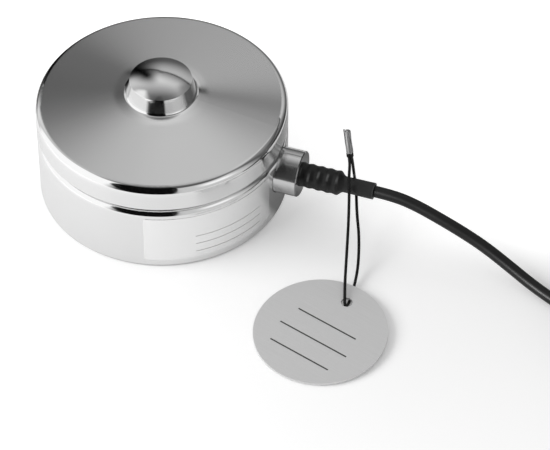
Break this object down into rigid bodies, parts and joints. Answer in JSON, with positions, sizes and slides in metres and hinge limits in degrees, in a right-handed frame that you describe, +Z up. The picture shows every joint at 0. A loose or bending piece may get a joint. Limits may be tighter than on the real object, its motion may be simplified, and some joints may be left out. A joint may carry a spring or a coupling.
{
  "type": "weighing load cell",
  "caption": "Round stainless compression load cell with a domed load button on a sloped cap, a side cable entry under a shrunk sleeve, and a round tag wired to the cable.",
  "frame": {"origin": "centre of the flat base that the cell stands on", "axes": "+Z up along the load axis through the button, +X along the cable entry"},
  "size_m": [0.3248, 0.1891, 0.0568],
  "materials": {
    "turned_steel": "satin turned top and polished wall",
    "machined_steel": "fine turned",
    "screw_steel": "plain",
    "tag_steel": "brushed",
    "crimp_metal": "pressed",
    "nipple_brass": "turned",
    "black_rubber": "matt",
    "shrunk_sleeve": "satin",
    "cable_jacket": "satin",
    "wire_coating": "matt",
    "tie_nylon": "plain",
    "board_green": "coated",
    "chip_black": "moulded",
    "can_metal": "bright",
    "terminal_plastic": "moulded",
    "white_ceramic": "ground",
    "core_insulation": "plain",
    "core_red": "plain",
    "core_black": "plain",
    "core_green": "plain",
    "core_white": "plain"
  },
  "bodies": {
    "root": {"housing": "turned_steel", "load_cap": "turned_steel", "seam_seal": "black_rubber", "spring_column": "machined_steel", "counter_electrode": "machined_steel", "ceramic_sensor": "white_ceramic", "sensor_clamp": "machined_steel", "sensor_lead": "core_insulation", "column_screws": "screw_steel", "circuit_board": "board_green", "board_spacers": "screw_steel", "board_screws": "screw_steel", "processor_chip": "chip_black", "crystal_can": "can_metal", "board_capacitors": "chip_black", "terminal_block": "terminal_plastic", "core_wires": "core_insulation", "cable_boss": "machined_steel", "boss_gasket": "black_rubber", "gland_bush": "black_rubber", "thrust_washer": "nipple_brass", "gland_nipple": "nipple_brass", "heat_shrink_sleeve": "shrunk_sleeve", "cable_in_gland": "cable_jacket", "cable_run": "cable_jacket", "cable_coil": "cable_jacket", "coil_tie": "tie_nylon", "cable_tail": "cable_jacket", "end_boot": "shrunk_sleeve", "end_core_red": "core_red", "end_core_black": "core_black", "end_core_green": "core_green", "end_core_white": "core_white", "end_core_lugs": "crimp_metal", "id_tag": "tag_steel", "tag_wire": "wire_coating", "wire_crimp": "crimp_metal", "crimp_collar": "wire_coating"}
  },
  "joints": []
}
